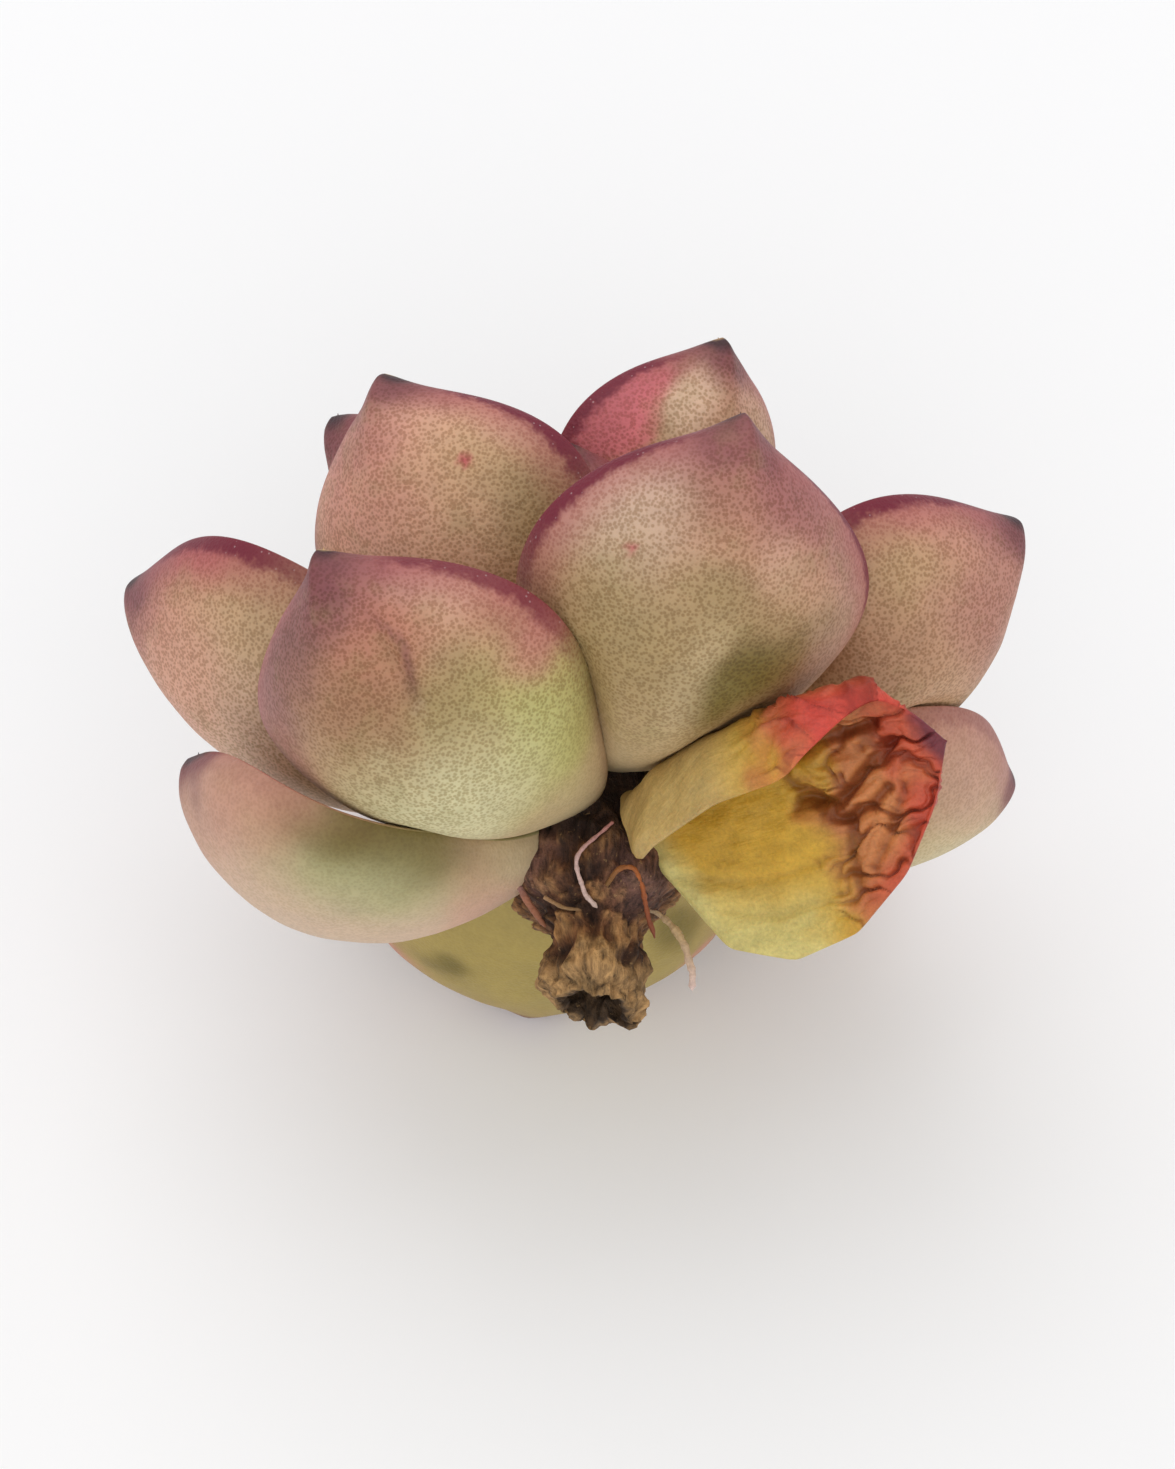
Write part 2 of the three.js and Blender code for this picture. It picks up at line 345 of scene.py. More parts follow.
# Each leaf's own habit, by rank from the oldest.
# In degrees: turn, off the spiral; lean, how far its base rises; curl, how much more it rises by its tip; and
# roll, its twist. In millimetres: rise, up the stem; stretch, tipAside and tipOut, the tip drawn out, off to
# one side and into a point. cup: lift of its margins. long, wide, thick: shares of a full leaf. freckled,
# rimmed: shares of the usual stipple and red rim. tip: paint of a dry end.
# dents: along and across the leaf, their reach along and across, and their depth in millimetres.
habits = [
    dict(name="lower_leaf_left", turn=5, lean=-29, curl=100, roll=-11, cup=0.19, long=0.83, wide=0.91,
         thick=1.25, rise=-0.9, tipOut=0.2, freckled=0.35, rimmed=0.12),
    dict(name="withered_leaf", turn=-5, lean=0, curl=31, roll=-65, long=0.74, wide=0.83, rise=-3.2),
    dict(name="lower_leaf_back", turn=3, lean=-26, curl=38, cup=0.25, long=0.8, wide=1.12, freckled=0.15,
         rimmed=0.2),
    dict(name="front_leaf_left", turn=2, lean=-24, curl=106, roll=7, long=0.98, wide=1.03, rise=-1,
         tipAside=2.2, tipOut=1.3, stretch=-1.0, rimmed=0.85, tip="cork",
         dents=[(0.755, 0.35, 0.08, 0.036, 0.7), (0.67, 0.35, 0.012, 0.05, 0.3),
                (0.7, 0.3, 0.12, 0.3, 0.35)]),
    dict(name="lower_leaf_right", turn=4, lean=-14, curl=60, long=0.85, rise=-1, freckled=0.5, rimmed=0.35),
    dict(name="side_leaf_left", turn=30, lean=-3, curl=76, roll=10, long=1.04, wide=1.1, rise=0.5,
         tipAside=0.8, tipOut=1.0, stretch=0.2),
    dict(name="front_leaf_right", turn=1, lean=-15, curl=98, roll=-2, long=1.03, wide=1.02,
         tipAside=-1.7, tipOut=1.6, stretch=-0.6,
         dents=[(0.55, 0.2, 0.12, 0.2, 0.5), (0.45, -0.12, 0.1, 0.15, -0.3)]),
    dict(name="back_leaf_right", turn=-2, lean=-10, curl=62, long=1.05),
    dict(name="upper_leaf_left", turn=31, lean=6, curl=93, roll=4, long=0.9, wide=0.98, rise=1,
         tipAside=1.3, tipOut=1.3, stretch=-1.0, tip="cork"),
    dict(name="side_leaf_right", turn=2, lean=-10, curl=98, roll=-8, long=1.02, wide=1.1, rise=-1.3,
         tipOut=0.8, stretch=-1.5, tipAside=-1.2),
    dict(name="back_leaf_left", turn=-4, lean=-10, curl=62, long=1.05),
    dict(name="inner_leaf_front", turn=3, lean=22, curl=50, roll=-14, long=0.58, wide=0.62, thick=0.85),
    dict(name="inner_leaf_back_right", lean=18),
    dict(name="inner_leaf_left", turn=22, lean=26, curl=52, roll=-8, long=0.72, wide=0.76, stretch=1.6),
    dict(name="upper_leaf_right", turn=-4, lean=27, curl=60, roll=8, long=0.74, wide=0.8, rise=1,
         tipAside=0.2, tipOut=1.1, stretch=-0.8, tip="straw"),
]
witheredRank = 1

# how finely and how evenly a leaf is formed
leafForm = {
    "rings": 84,
    "sides": 160,
    "budRings": 40,
    "budSides": 40,
    "innerSwell": 0.28,  # the flesh's shares above and below the midline
    "outerSwell": -0.72,
    "keel": 0.35 * mm,
    "keelWidth": 0.2,
    "waver": 0.3 * mm,
    "waverSize": 11 * mm,
    "tipOut": 0.9,
    "tipWide": 2.0 * mm,
    "tipFullAt": 28 * mm,  # shorter leaves have smaller tips
}


def stemRadius(height):
    grown = smooth(height / plant["crownHeight"])
    return lerp(plant["crownRadius"], plant["tipRadius"], grown)


def makeHabit(rank):
    age = 1 - rank / (plant["leafCount"] - 1)
    grown = min(1, age / plant["grownAge"]) ** 1.6
    opened = min(1, age / plant["openAge"])
    lean = lerp(plant["budLean"], plant["openLean"], opened ** 0.8)
    curl = lerp(plant["budCurl"], plant["openCurl"], opened)
    own = dict(turn=0, roll=0, cup=plant["cup"], thick=1, rise=0, lean=lean, curl=curl)
    own.update(habits[rank] if rank < len(habits) else {})
    long, wide = own.get("long"), own.get("wide")
    length = plant["leafLength"] * long if long else lerp(plant["budLength"], plant["leafLength"], grown)
    width = plant["leafWidth"] * wide if wide else lerp(plant["budWidth"], plant["leafWidth"], grown)
    return {
        **own,
        "name": own.get("name", f"leaf_{rank:02d}"),
        "turn": plant["firstTurn"] + rank * plant["goldenAngle"] + own["turn"],
        "length": length,
        "width": width,
        "thickness": lerp(plant["budThickness"], plant["leafThickness"], grown) * own["thick"],
        "height": plant["crownHeight"] * (1 - age ** 1.5) + own["rise"] * mm,
        "isYoung": rank >= len(habits),
    }


# half width along a leaf, as a share of the widest, with a small point at its end
def blade(t):
    widest = 0.58
    base = 0.3
    rising = lerp(base, 1, np.sin(np.clip(t / widest, 0, 1) * math.pi / 2))
    u = np.clip((t - widest) / (1 - widest), 0, 1)
    falling = np.sqrt(np.maximum(0, 1 - (u / 0.985) ** 2.1))
    falling = np.maximum(falling, 0.3 * (1 - u))
    return np.where(t < widest, rising, falling)


# thickness along a leaf, as a share of the thickest
def flesh(t):
    return lerp(0.62, 1, smooth(t / 0.45)) * np.sqrt(np.maximum(0, 1 - t ** 3.2))


# the plain midline, which bends more and more towards the tip
def midline(leaf, t):
    steps = 48
    share = (np.arange(steps) + 0.5) / steps
    bend = np.radians(leaf["curl"]) * (share[None, :] * t[:, None]) ** 1.5
    reach = leaf["length"] * t
    zero = np.zeros_like(t)
    return np.stack([np.cos(bend).mean(1) * reach, zero, np.sin(bend).mean(1) * reach], 1)


# the midline with the leaf's own tip drawn out along it and off to one side
def middleOf(leaf, t):
    bend = np.radians(leaf["curl"]) * t ** 1.5
    zero = np.zeros_like(t)
    out = leaf.get("stretch", 0) * mm * t ** 4
    aside = leaf.get("tipAside", 0) * mm * t ** 4
    return midline(leaf, t) + np.stack([np.cos(bend) * out, aside + zero, np.sin(bend) * out], 1)


def turnAbout(points, axis, degrees):
    c, s = math.cos(math.radians(degrees)), math.sin(math.radians(degrees))
    a, b = [(1, 2), (2, 0), (0, 1)][axis]
    turned = points.copy()
    turned[..., a] = points[..., a] * c - points[..., b] * s
    turned[..., b] = points[..., a] * s + points[..., b] * c
    return turned


# from the leaf's own frame to its place on the stem
def standLeaf(leaf, points, isDirection=False):
    points = turnAbout(points, 0, leaf["roll"])
    points = turnAbout(points, 1, -leaf["lean"])
    if not isDirection:
        points = points + (stemRadius(leaf["height"]) + plant["clearance"], 0, 0)
    points = turnAbout(points, 2, leaf["turn"] - 90)
    return points if isDirection else points + (0, 0, leaf["height"])


def inwardOf(leaf, t):
    bend = np.radians(leaf["curl"]) * t ** 1.5
    return np.stack([-np.sin(bend), np.zeros_like(t), np.cos(bend)], 1)


# the leaf's skin as rings of points in the world, with what its paint needs
def growLeaf(leaf, rings, sides):
    t = np.sin(np.arange(rings) / rings * math.pi / 2)
    angle = np.arange(sides) / sides * 2 * math.pi
    across, lift = np.cos(angle), np.sin(angle)
    half = leaf["width"] / 2 * blade(t)
    thick = np.minimum(leaf["thickness"] * flesh(t), half * 2.2)
    inward = inwardOf(leaf, t)
    swell = np.where(lift >= 0, leafForm["innerSwell"], leafForm["outerSwell"]) * np.abs(lift) ** 1.15
    cupped = leaf["cup"] * half[:, None] * across[None, :] ** 2 * smooth(t * 3)[:, None]
    keel = leafForm["keel"] * np.exp(-(across / leafForm["keelWidth"]) ** 2)[None, :]
    keel = keel * smooth((t - 0.55) / 0.35)[:, None] * (lift < 0)
    keel = keel * np.minimum(1, half / (4 * mm))[:, None]
    raised = swell[None, :] * thick[:, None] + cupped - keel
    points = middleOf(leaf, t)[:, None, :] + inward[:, None, :] * raised[..., None]
    y = half[:, None] * across[None, :]
    points[..., 1] += y
    tipSize = min(1, leaf["length"] / leafForm["tipFullAt"])
    tipWide = leafForm["tipWide"] * tipSize
    tipOut = leaf.get("tipOut", leafForm["tipOut"]) * mm * tipSize
    drawn = tipOut * np.exp(-np.abs(y / tipWide) ** 1.4) * smooth((t - 0.78) / 0.22)[:, None]
    onwards = np.stack([inward[:, 2], inward[:, 1], -inward[:, 0]], 1)
    away = onwards * 0.8 - inward * 0.6  # the point of a leaf turns outwards
    points += away[:, None, :] * drawn[..., None]
    tipPoint = middleOf(leaf, np.array([0.0, 1.0])) + away[-1] * np.array([[0], [drawn.max()]])
    return {
        "t": t,
        "across": across,
        "lift": lift,
        "half": half,
        "points": toWorld(standLeaf(leaf, points)),
        "inward": standLeaf(leaf, inward, True) @ axes,
        "ends": toWorld(standLeaf(leaf, tipPoint)),
    }


# slow waves, which die out at a leaf's margins and base, keep it from being a perfect form; then its dents
def waver(grown, leaf):
    points, t, c = grown["points"], grown["t"][:, None], grown["across"][None, :]
    flat = points.reshape(-1, 3)
    wave = noiseAt(flat + leaf["turn"], leafForm["waverSize"], 3).reshape(points.shape[:2])
    share = smooth(t * 2.5) * np.abs(grown["lift"])[None, :] ** 0.7
    share = share * np.minimum(1, grown["half"] / (5 * mm))[:, None]
    points += grown["inward"][:, None, :] * (wave * share * leafForm["waver"])[..., None]
    for along, across, reachAlong, reachAcross, depth in leaf.get("dents", []):
        far = ((t - along) / reachAlong) ** 2 + ((c - across) / reachAcross) ** 2
        dent = depth * mm * np.exp(-far) * (grown["lift"] < 0)
        points += grown["inward"][:, None, :] * dent[..., None]


press = {
    "reach": 3.5 * mm,  # how far over a leaf the older ones are looked for
    "rounds": 14,  # of smoothing
    "bend": 0.65,  # share of a push that the inner side follows
    "squash": 0.55,  # share of the flesh that may give way
}


# A younger leaf lies on the older ones: wherever one of them reaches up into it, it bends inwards over it.
def pressOff(grown, olderTrees):
    points, inward = grown["points"], grown["inward"]
    rings, sides = points.shape[:2]
    columns = sides // 2 + 1
    inner = points[:, :columns]
    outer = points[:, [-j % sides for j in range(columns)]]
    reach = press["reach"]
    need = np.zeros((rings, columns))
    low, high = points.reshape(-1, 3).min(0) - reach, points.reshape(-1, 3).max(0) + reach
    near = [tree for box, tree in olderTrees if (box[0] < high).all() and (box[1] > low).all()]
    for i in range(rings):
        n = Vector(inward[i])
        for j in range(columns):
            top = Vector(inner[i, j]) + n * reach
            depth = (top - Vector(outer[i, j])).dot(n)
            for tree in near:
                hit, normal, _, distance = tree.ray_cast(top, -n, depth)
                if hit is not None and normal.dot(n) > 0.05:
                    need[i, j] = max(need[i, j], depth - distance + plant["clearance"])
    need *= smooth((grown["t"] - 0.08) / 0.2)[:, None]
    push = need
    for _ in range(press["rounds"]):
        wide = np.pad(push, 1, mode="edge")
        push = (wide[:-2, 1:-1] + wide[2:, 1:-1] + wide[1:-1, :-2] + wide[1:-1, 2:] + 2 * push) / 6
        push = np.maximum(push, need)
    thick = ((inner - outer) * inward[:, None, :]).sum(2)
    lifted = np.maximum(push * press["bend"], push - thick * press["squash"])
    for j in range(columns):
        points[:, j] += inward * lifted[:, j, None]
        if j % (sides // 2):
            points[:, -j % sides] += inward * push[:, j, None]
        else:
            points[:, j] += inward * (push - lifted)[:, j, None]
    return push.max()


# millimetres from each point to the leaf's margin
def edgeDistance(grown, leaf):
    steps = np.sin(np.linspace(0, 1, 160) * math.pi / 2)
    rim = np.stack([steps * leaf["length"], leaf["width"] / 2 * blade(steps)], 1)
    y = np.abs(grown["half"][:, None] * grown["across"][None, :])
    here = np.stack([np.broadcast_to(grown["t"][:, None] * leaf["length"], y.shape), y], 2).reshape(-1, 1, 2)
    return np.sqrt(((here - rim[None]) ** 2).sum(2)).min(1) / mm


# Marks on the outer side of a leaf: along and across it, their reach along and across, a paint, its strength,
# and how crisp the mark's edge is.
marks = {
    "front_leaf_right": [
        (0.82, -0.72, 0.13, 0.4, "pinkCream", 0.75, 4), (0.7, 0.7, 0.3, 0.35, "salmon", 0.35, 3),
        (0.86, -0.28, 0.06, 0.25, "umber", 0.5, 4),
        (0.87, 0.45, 0.09, 0.35, "dusk", 0.75, 4), (0.77, 0.26, 0.05, 0.16, "pink", 0.5, 4),
        (0.71, -0.09, 0.06, 0.2, "olive", 0.6, 4), (0.58, -0.6, 0.17, 0.3, "olive", 0.5, 4),
        # the three dark marks here are painted shade, where the withered leaf shades this leaf's lower part
        (0.5, 0.1, 0.07, 0.2, "paintedShade", 0.9, 3), (0.57, 0.3, 0.07, 0.24, "paintedShade", 0.9, 3),
        (0.62, 0.5, 0.06, 0.24, "paintedShade", 0.6, 3),
        (0.53, 0.72, 0.09, 0.2, "umber", 0.55, 4), (0.6, -0.04, 0.05, 0.1, "beige", 0.5, 4),
        (0.44, -0.1, 0.13, 0.12, "beige", 0.6, 4), (0.17, -0.17, 0.12, 0.7, "beige", 0.5, 4),
        (0.71, 0.86, 0.2, 0.2, "mauve", 0.8, 4), (0.74, -0.6, 0.012, 0.03, "crimson", 0.7, 8),
        (0.95, 0.0, 0.07, 0.9, "dusk", 0.65, 3), (0.8, 0.8, 0.12, 0.25, "dusk", 0.5, 4),
    ],
    "front_leaf_left": [
        (0.9, 0.02, 0.07, 0.4, "slate", 0.8, 4), (0.86, -0.36, 0.09, 0.32, "slate", 0.75, 4),
        (0.78, -0.68, 0.13, 0.28, "slate", 0.75, 4), (0.85, 0.8, 0.06, 0.28, "pink", 0.6, 4),
        (0.84, 0.4, 0.06, 0.2, "brick", 0.6, 4), (0.77, 0.26, 0.07, 0.2, "brick", 0.55, 4),
        (0.755, 0.35, 0.08, 0.036, "plum", 0.75, 5), (0.665, 0.35, 0.012, 0.04, "cream", 0.6, 6),
        (0.71, 0.0, 0.09, 0.3, "umber", 0.65, 4), (0.65, 0.5, 0.09, 0.22, "olive", 0.65, 4),
        (0.42, 0.85, 0.17, 0.32, "lime", 0.85, 4), (0.33, 0.6, 0.14, 0.4, "lime", 0.5, 4),
        (0.52, 0.0, 0.08, 0.5, "paleGreen", 0.5, 4), (0.4, 0.0, 0.11, 0.6, "paleGreen", 0.85, 4),
        (0.63, 0.97, 0.07, 0.14, "rose", 0.8, 4), (0.2, 0.4, 0.07, 0.6, "beige", 0.6, 4),
        (0.62, -0.8, 0.1, 0.3, "mauve", 0.6, 4), (0.75, -0.85, 0.25, 0.3, "dusk", 0.5, 4),
        (0.92, 0.3, 0.06, 0.6, "dusk", 0.5, 4),
    ],
    "upper_leaf_left": [
        (0.65, 0.15, 0.4, 0.8, "salmon", 0.85, 3),
        (0.78, -0.25, 0.15, 0.5, "rose", 0.75, 4), (0.74, 0.62, 0.1, 0.28, "tan", 0.6, 4),
        (0.6, 0.8, 0.11, 0.28, "olive", 0.7, 4), (0.76, 0.57, 0.012, 0.03, "crimson", 0.85, 9),
        (0.8, 0.88, 0.05, 0.14, "pink", 0.45, 4), (0.86, -0.17, 0.07, 0.4, "dusk", 0.5, 4),
        (0.95, 0.4, 0.05, 0.5, "dusk", 0.6, 4),
    ],
    "side_leaf_left": [
        (0.5, -0.3, 0.4, 0.6, "pinkCream", 0.8, 4),
        (0.87, 0.55, 0.09, 0.38, "brick", 0.7, 4), (0.6, 0.82, 0.12, 0.22, "tan", 0.85, 4),
        (0.55, 0.0, 0.2, 0.6, "cream", 0.85, 4), (0.73, 0.09, 0.08, 0.4, "rose", 0.6, 4),
        (0.75, 0.3, 0.2, 0.4, "salmon", 0.4, 4), (0.4, -0.5, 0.3, 0.5, "cream", 0.7, 4),
        (0.96, 0.55, 0.05, 0.5, "plum", 0.7, 4), (0.82, -0.6, 0.18, 0.45, "rose", 0.75, 4),
        (0.9, 0.0, 0.08, 0.7, "dusk", 0.6, 4), (0.84, 0.95, 0.1, 0.12, "crimson", 0.5, 4),
    ],
    "upper_leaf_right": [
        (0.76, -0.8, 0.15, 0.32, "ruby", 0.85, 14), (0.82, -0.33, 0.09, 0.22, "cream", 0.9, 6),
        (0.79, 0.42, 0.12, 0.3, "pink", 0.6, 4), (0.92, 0.3, 0.05, 0.35, "rose", 0.5, 4),
    ],
    "side_leaf_right": [
        (0.65, -0.4, 0.3, 0.7, "salmon", 0.5, 3),
        (0.8, -0.85, 0.07, 0.22, "rose", 0.7, 4), (0.96, -0.5, 0.07, 0.5, "dusk", 0.8, 4),
        (0.77, -0.15, 0.1, 0.45, "dusk", 0.55, 4), (0.69, -0.77, 0.09, 0.22, "tan", 0.7, 4),
        (0.57, -0.5, 0.1, 0.3, "umber", 0.45, 4),
    ],
    "lower_leaf_right": [
        (0.78, -0.75, 0.15, 0.4, "mauve", 0.8, 4), (0.75, 0.1, 0.16, 0.45, "paleGreen", 0.7, 4),
    ],
    "lower_leaf_left": [
        (0.5, 0.2, 0.4, 0.8, "pinkCream", 0.8, 4), (0.9, 0.0, 0.12, 0.9, "mauve", 0.9, 4),
        # the dark mark at the upper margin is painted shade, the shadow gap under the leaves in front
        (0.52, 0.85, 0.26, 0.35, "green", 0.9, 4), (0.5, 1.0, 0.26, 0.2, "paintedShade", 0.95, 4),
        (0.8, 0.8, 0.1, 0.4, "rose", 0.5, 4), (0.22, 0.3, 0.08, 0.6, "rose", 0.5, 4),
        (0.45, -0.9, 0.2, 0.2, "paleGreen", 0.6, 4),
    ],
    "lower_leaf_back": [
        (0.45, 0.0, 0.7, 1.6, "leek", 0.9, 6), (0.75, 0.86, 0.08, 0.14, "rose", 0.8, 5),
        # the two dark marks are painted shade, the shadows in the pockets under the neighbouring leaves'
        # margins
        (0.66, -0.9, 0.08, 0.1, "rose", 0.8, 5), (0.6, 0.62, 0.06, 0.12, "paintedShade", 0.8, 5),
        (0.38, -0.72, 0.1, 0.12, "paintedShade", 0.75, 5),
    ],
}


def paintLeaf(grown, leaf):
    rings, sides = grown["points"].shape[:2]
    flat = grown["points"].reshape(-1, 3)
    t = np.repeat(grown["t"], sides)
    c = np.tile(grown["across"], rings)
    isInner = np.tile(grown["lift"] > 0, rings)
    colour, layOn = baseCoat(palette, "belly", rings * sides)
    layOn("tan", smooth((t - 0.1) / 0.4))
    layOn("olive", 0.4 * np.exp(-((t - 0.5) / 0.2) ** 2 - (c / 0.6) ** 2))
    layOn("green", isInner * 0.75 * smooth((0.95 - t) / 0.3))
    layOn("rose", 0.75 * smooth((t - 0.6) / 0.28))
    layOn("dusk", 0.75 * smooth((t - 0.8) / 0.14))
    layOn("rose", 0.6 * smooth((np.abs(c) - 0.62) / 0.38) * smooth((t - 0.3) / 0.3))
    drift = noiseAt(flat, 5 * mm, 2)
    for along, across, reachAlong, reachAcross, name, strength, crisp in marks.get(leaf["name"], []):
        farAlong = (t + drift * 0.035 - along) / reachAlong
        far = np.hypot(farAlong, (c + drift[::-1] * 0.1 - across) / reachAcross)
        layOn(name, ~isInner * strength / (1 + np.exp(np.minimum((far - 1) * crisp, 50))))
    size = min(1, leaf["length"] / leafForm["tipFullAt"])
    tipAway = np.linalg.norm(flat - grown["ends"][1], axis=1) / mm / size
    layOn("plum", 0.85 * smooth((6.5 + drift * 2 - tipAway) / 4))
    layOn("purple", 0.92 * smooth((2.6 + drift - tipAway) / 1.6))
    layOn(leaf.get("tip", "purple"), smooth((1.1 - tipAway) / 0.4))
    freckles = (0.3 + 0.7 * smooth((t - 0.15) / 0.35)) * (1 - 0.6 * smooth((t - 0.9) / 0.1))
    rimShare = (0.25 + 0.75 * smooth((t - 0.4) / 0.35)) * smooth((tipAway - 2) / 5)
    return colour, freckles * leaf.get("freckled", 1), rimShare * leaf.get("rimmed", 1)


def makeLeaves():
    grownSkin = makeLeafSkin("leafSkin", skin["stippleDepth"])
    youngSkin = makeLeafSkin("youngLeafSkin", skin["youngStippleDepth"])
    trees = []
    for rank in range(plant["leafCount"]):
        leaf = makeHabit(rank)
        if rank == witheredRank:
            trees.append(makeWitheredLeaf(leaf))
            continue
        rings = leafForm["budRings" if leaf["isYoung"] else "rings"]
        sides = leafForm["budSides" if leaf["isYoung"] else "sides"]
        grown = growLeaf(leaf, rings, sides)
        pushed = pressOff(grown, trees)
        waver(grown, leaf)
        for part in (grown["points"], grown["ends"]):
            part[..., 2] = np.maximum(part[..., 2], 0)  # nothing goes under the floor
        piece = makeSkin(leaf["name"] + "_skin", grown["points"], *grown["ends"])
        colour, freckles, rimShare = paintLeaf(grown, leaf)
        addValues(piece, "paint", withEnds(colour))
        addValues(piece, "freckles", withEnds(freckles))
        addValues(piece, "edge", withEnds(edgeDistance(grown, leaf)))
        addValues(piece, "rimShare", withEnds(rimShare))
        if leaf["isYoung"]:
            place(piece, leaf["name"], "young_leaf_skin", youngSkin)
        else:
            place(piece, leaf["name"], "leaf_skin", grownSkin)
        trees.append(treeOf(piece))
        print(f"{leaf['name']}: pressed {pushed / mm:.1f} mm")


def treeOf(piece):
    points = np.array([v.co for v in piece.data.vertices])
    tree = BVHTree.FromPolygons(points.tolist(), [list(p.vertices) for p in piece.data.polygons])
    return (points.min(0), points.max(0)), tree


# The withered leaf, a thin crumpled sheet.
withered = {
    "rings": 180,
    "columns": 150,
    "thickness": 1.3 * mm,
    "lip": 6.2 * mm,  # margin that has curled over
    "lipCurl": 100,
    "hood": 58,  # degrees that the upper half bends forward
    "brim": 13,
    "heel": 1.2 * mm,  # sideways shift of the base
    # margins: shares of the length, and of the half width there
    "upperMargin": [(0, 0.12), (0.2, 0.42), (0.45, 0.66), (0.7, 0.72), (0.88, 0.48), (0.96, 0.2), (1, 0.02)],
    "lowerMargin": [(0, 0.15), (0.1, 0.5), (0.22, 0.98), (0.42, 1.16), (0.62, 1.08), (0.8, 0.78),
                    (0.93, 0.38), (1, 0.02)],
    # long folds: points along and across the leaf, then depth and width, all in millimetres
    "folds": [
        ([(17, 2.5), (20, 3.0), (25.5, 3.2)], 0.9, 0.5),
        ([(17, -1.5), (20.5, -2.4), (23, -0.5), (26, 1.2)], 1.1, 0.55),
        ([(20.5, -4), (23, -3.4), (25, -2)], 0.8, 0.5),
        ([(14, 4.5), (17, 2.4), (17.5, -1), (20.5, -4.5), (19.8, -9)], 0.7, 0.7),
        ([(4, -5), (9, -6.5), (15, -6.8), (19, -6)], 0.35, 0.6),
        ([(7, -8.5), (12, -10), (17, -9.5)], 0.3, 0.6),
        ([(22, -8), (24.5, -5), (26.5, -2)], 0.5, 0.5),
    ],
    "cell": (6.5, 3.2),  # millimetres along and across, of the cells between creases
    "creases": [(1.0, 0.6, 0.08), (0.5, 0.2, 0.12)],  # share of that cell, depth, width
    "creasedFrom": 15,  # millimetres from the base
    "gold": (0.58, 0.34, 0.035),
    "orange": (0.52, 0.19, 0.06),
    "red": (0.50, 0.065, 0.035),
    "scarlet": (0.60, 0.05, 0.04),
    "purple": (0.12, 0.025, 0.04),
    "cream": (0.64, 0.56, 0.20),
    "beige": (0.52, 0.36, 0.13),
    "shade": (0.12, 0.075, 0.015),
    "crease": (0.42, 0.26, 0.20),  # painted shade in the folds, a tint that grows with their depth
}


def makeWitheredSkin():
    material, wire, where = startMaterial("witheredSkin")
    paint = attribute(wire, "paint", "Color")
    fold = attribute(wire, "fold")
    dust = grain(wire, where, 0.35 * mm, 2.0, 0.7)
    cloud = grain(wire, where, 3 * mm, 4.0, 0.6)
    veins = grain(wire, attribute(wire, "flat", "Vector"), 1.0 * mm, 3.0, 0.6)
    lit = brightened(paint, 1.0 + (cloud - 0.5) * 0.5 + (dust - 0.5) * 0.6 + (veins - 0.5) * 0.4)
    # painted shade: the skin is darkened in the folds by their depth
    colour = mixColour(fold.between(0.25, 1.0) * 0.8, lit, tinted(lit, withered["crease"]))
    height = dust * 0.06 + veins * 0.22 + cloud * 0.2
    fixed = {"Subsurface Weight": 0.1, "Subsurface Scale": 1.5 * mm, "IOR": 1.4}
    finishMaterial(wire, colour, 0.5 + (cloud - 0.5) * 0.2, height, 0.7, fixed)
    return material


def marginAt(stops, t):
    places, widths = zip(*stops)
    fine = np.linspace(0, 1, 400)
    rough = np.interp(fine, places, widths)
    for _ in range(60):
        rough[1:-1] = (rough[:-2] + rough[2:] + 2 * rough[1:-1]) / 4
    return np.interp(t, fine, rough)


def distanceToLine(points, line):
    line = np.array(line, float)
    best = np.full(len(points), 1e9)
    for a, b in zip(line[:-1], line[1:]):
        share = np.clip(((points - a) @ (b - a)) / ((b - a) @ (b - a)), 0, 1)
        best = np.minimum(best, np.linalg.norm(points - a - share[:, None] * (b - a), axis=1))
    return best


# depth of the folds and creases in millimetres, at points along and across the leaf
def crumple(flat):
    depth = np.zeros(len(flat))
    warp = noiseAt(np.c_[flat, np.zeros(len(flat))], 3.0, 2)
    for line, deep, width in withered["folds"]:
        depth += deep * np.exp(-(distanceToLine(flat + warp[:, None] * 0.5, line) / width) ** 2)
    share = smooth((flat[:, 0] - withered["creasedFrom"]) / 5)
    bent = flat + np.stack([warp, noiseAt(np.c_[flat, np.full(len(flat), 9.0)], 2.4, 2)], 1) * 1.5
    long, wide = withered["cell"]
    for i, (x, y) in enumerate(bent):
        if share[i] > 0.01:
            for size, deep, width in withered["creases"]:
                near = noise.voronoi(Vector((x / (long * size), y / (wide * size), size)))[0]
                depth[i] += deep * share[i] * math.exp(-((near[1] - near[0]) / width) ** 2)
    return depth


